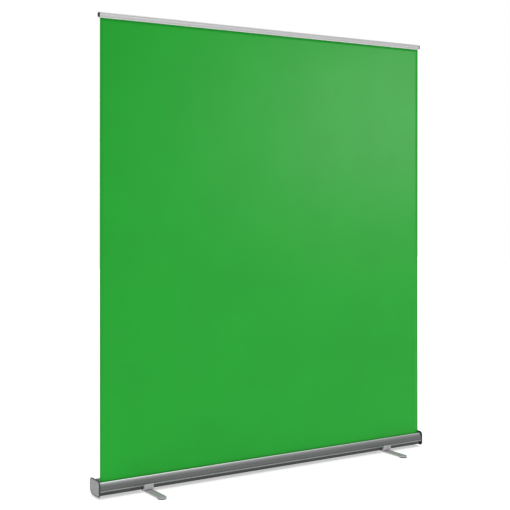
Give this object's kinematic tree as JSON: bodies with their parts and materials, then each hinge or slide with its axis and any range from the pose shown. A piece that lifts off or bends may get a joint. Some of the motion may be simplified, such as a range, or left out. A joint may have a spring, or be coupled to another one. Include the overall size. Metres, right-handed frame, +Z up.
{
  "type": "collapsible backdrop panel",
  "caption": "Free-standing pull-up backdrop: a flat green sheet raised from a roller in a long low case, held by poles at the back, on swing-out feet.",
  "frame": {"origin": "middle of the case at floor level, under the soles", "axes": "+X along the case, -Y the front, +Z up"},
  "size_m": [1.8296, 0.356, 2.0916],
  "materials": {
    "case_aluminium": "satin",
    "cap_plastic": "matte",
    "plate_silver": "satin",
    "steel": "satin",
    "pole_aluminium": "satin",
    "nylon": "matte",
    "chroma_fabric": "matte",
    "rail_silver": "satin",
    "foot_silver": "satin",
    "saddle_plastic": "satin",
    "rubber_black": "matte"
  },
  "bodies": {
    "root": {"case_extrusion": "case_aluminium", "left_end_cap": "cap_plastic", "right_end_cap": "cap_plastic", "left_cap_plate": "plate_silver", "right_cap_plate": "plate_silver", "cap_screws": "steel", "roller_spring": "steel", "roller_arbor": "steel", "left_pole_socket": "cap_plastic", "right_pole_socket": "cap_plastic", "left_lower_tube": "pole_aluminium", "right_lower_tube": "pole_aluminium", "left_foot_saddle": "saddle_plastic", "left_foot_pivot": "steel", "right_foot_saddle": "saddle_plastic", "right_foot_pivot": "steel", "fabric_sheet": "chroma_fabric"},
    "roller": {"roller_tube": "steel", "roller_spring_plug": "cap_plastic", "roller_idle_plug": "cap_plastic", "roller_idle_pin": "steel", "fabric_roll": "chroma_fabric"},
    "top_rail": {"rail_back_jaw": "rail_silver", "left_rail_cap": "cap_plastic", "right_rail_cap": "cap_plastic"},
    "front_jaw": {"rail_front_jaw": "rail_silver"},
    "left_middle_pole": {"left_middle_tube": "pole_aluminium", "left_middle_bush": "nylon"},
    "left_upper_pole": {"left_upper_tube": "pole_aluminium", "left_upper_bush": "nylon", "left_pole_hook": "cap_plastic"},
    "left_lower_collar": {"left_lower_lock": "cap_plastic"},
    "left_upper_collar": {"left_upper_lock": "cap_plastic"},
    "left_foot": {"left_foot_bar": "foot_silver", "left_foot_soles": "rubber_black"},
    "right_middle_pole": {"right_middle_tube": "pole_aluminium", "right_middle_bush": "nylon"},
    "right_upper_pole": {"right_upper_tube": "pole_aluminium", "right_upper_bush": "nylon", "right_pole_hook": "cap_plastic"},
    "right_lower_collar": {"right_lower_lock": "cap_plastic"},
    "right_upper_collar": {"right_upper_lock": "cap_plastic"},
    "right_foot": {"right_foot_bar": "foot_silver", "right_foot_soles": "rubber_black"}
  },
  "joints": [
    {"name": "rail_lift", "type": "slide", "parent": "root", "child": "top_rail", "axis": [0, 0, 1], "range_m": [-1.1, 0], "deforming": ["fabric_sheet"]},
    {"name": "left_middle_slide", "type": "slide", "parent": "root", "child": "left_middle_pole", "axis": [0, 0, 1], "range_m": [-0.55, 0]},
    {"name": "left_upper_slide", "type": "slide", "parent": "left_middle_pole", "child": "left_upper_pole", "axis": [0, 0, 1], "range_m": [-0.55, 0]},
    {"name": "left_lower_lock_turn", "type": "hinge", "parent": "root", "child": "left_lower_collar", "pos_m": [-0.5, 0.0334, 0.795], "axis": [0, 0, 1], "range_deg": [0, 90]},
    {"name": "left_upper_lock_turn", "type": "hinge", "parent": "left_middle_pole", "child": "left_upper_collar", "pos_m": [-0.5, 0.0334, 1.455], "axis": [0, 0, 1], "range_deg": [0, 90]},
    {"name": "right_middle_slide", "type": "slide", "parent": "root", "child": "right_middle_pole", "axis": [0, 0, 1], "range_m": [-0.55, 0]},
    {"name": "right_upper_slide", "type": "slide", "parent": "right_middle_pole", "child": "right_upper_pole", "axis": [0, 0, 1], "range_m": [-0.55, 0]},
    {"name": "right_lower_lock_turn", "type": "hinge", "parent": "root", "child": "right_lower_collar", "pos_m": [0.5, 0.0334, 0.795], "axis": [0, 0, 1], "range_deg": [0, 90]},
    {"name": "right_upper_lock_turn", "type": "hinge", "parent": "right_middle_pole", "child": "right_upper_collar", "pos_m": [0.5, 0.0334, 1.455], "axis": [0, 0, 1], "range_deg": [0, 90]},
    {"name": "roller_spin", "type": "hinge", "parent": "root", "child": "roller", "pos_m": [0, 0.00205, 0.044], "axis": [1, 0, 0], "range_deg": [0, 4072]},
    {"name": "rail_jaw_open", "type": "hinge", "parent": "top_rail", "child": "front_jaw", "pos_m": [0, -0.0135, 2.087], "axis": [1, 0, 0], "range_deg": [-50, 0]},
    {"name": "left_foot_swivel", "type": "hinge", "parent": "root", "child": "left_foot", "pos_m": [-0.676, 0, 0.0065], "axis": [0, 0, 1], "range_deg": [-90, 0]},
    {"name": "right_foot_swivel", "type": "hinge", "parent": "root", "child": "right_foot", "pos_m": [0.676, 0, 0.0065], "axis": [0, 0, 1], "range_deg": [0, 90]}
  ],
  "couplings": [
    {"joint": "left_middle_slide", "follows": "rail_lift", "ratio": 0.5},
    {"joint": "left_upper_slide", "follows": "rail_lift", "ratio": 0.5},
    {"joint": "right_middle_slide", "follows": "rail_lift", "ratio": 0.5},
    {"joint": "right_upper_slide", "follows": "rail_lift", "ratio": 0.5},
    {"joint": "roller_spin", "follows": "rail_lift", "rad_per_m": -64.52}
  ]
}
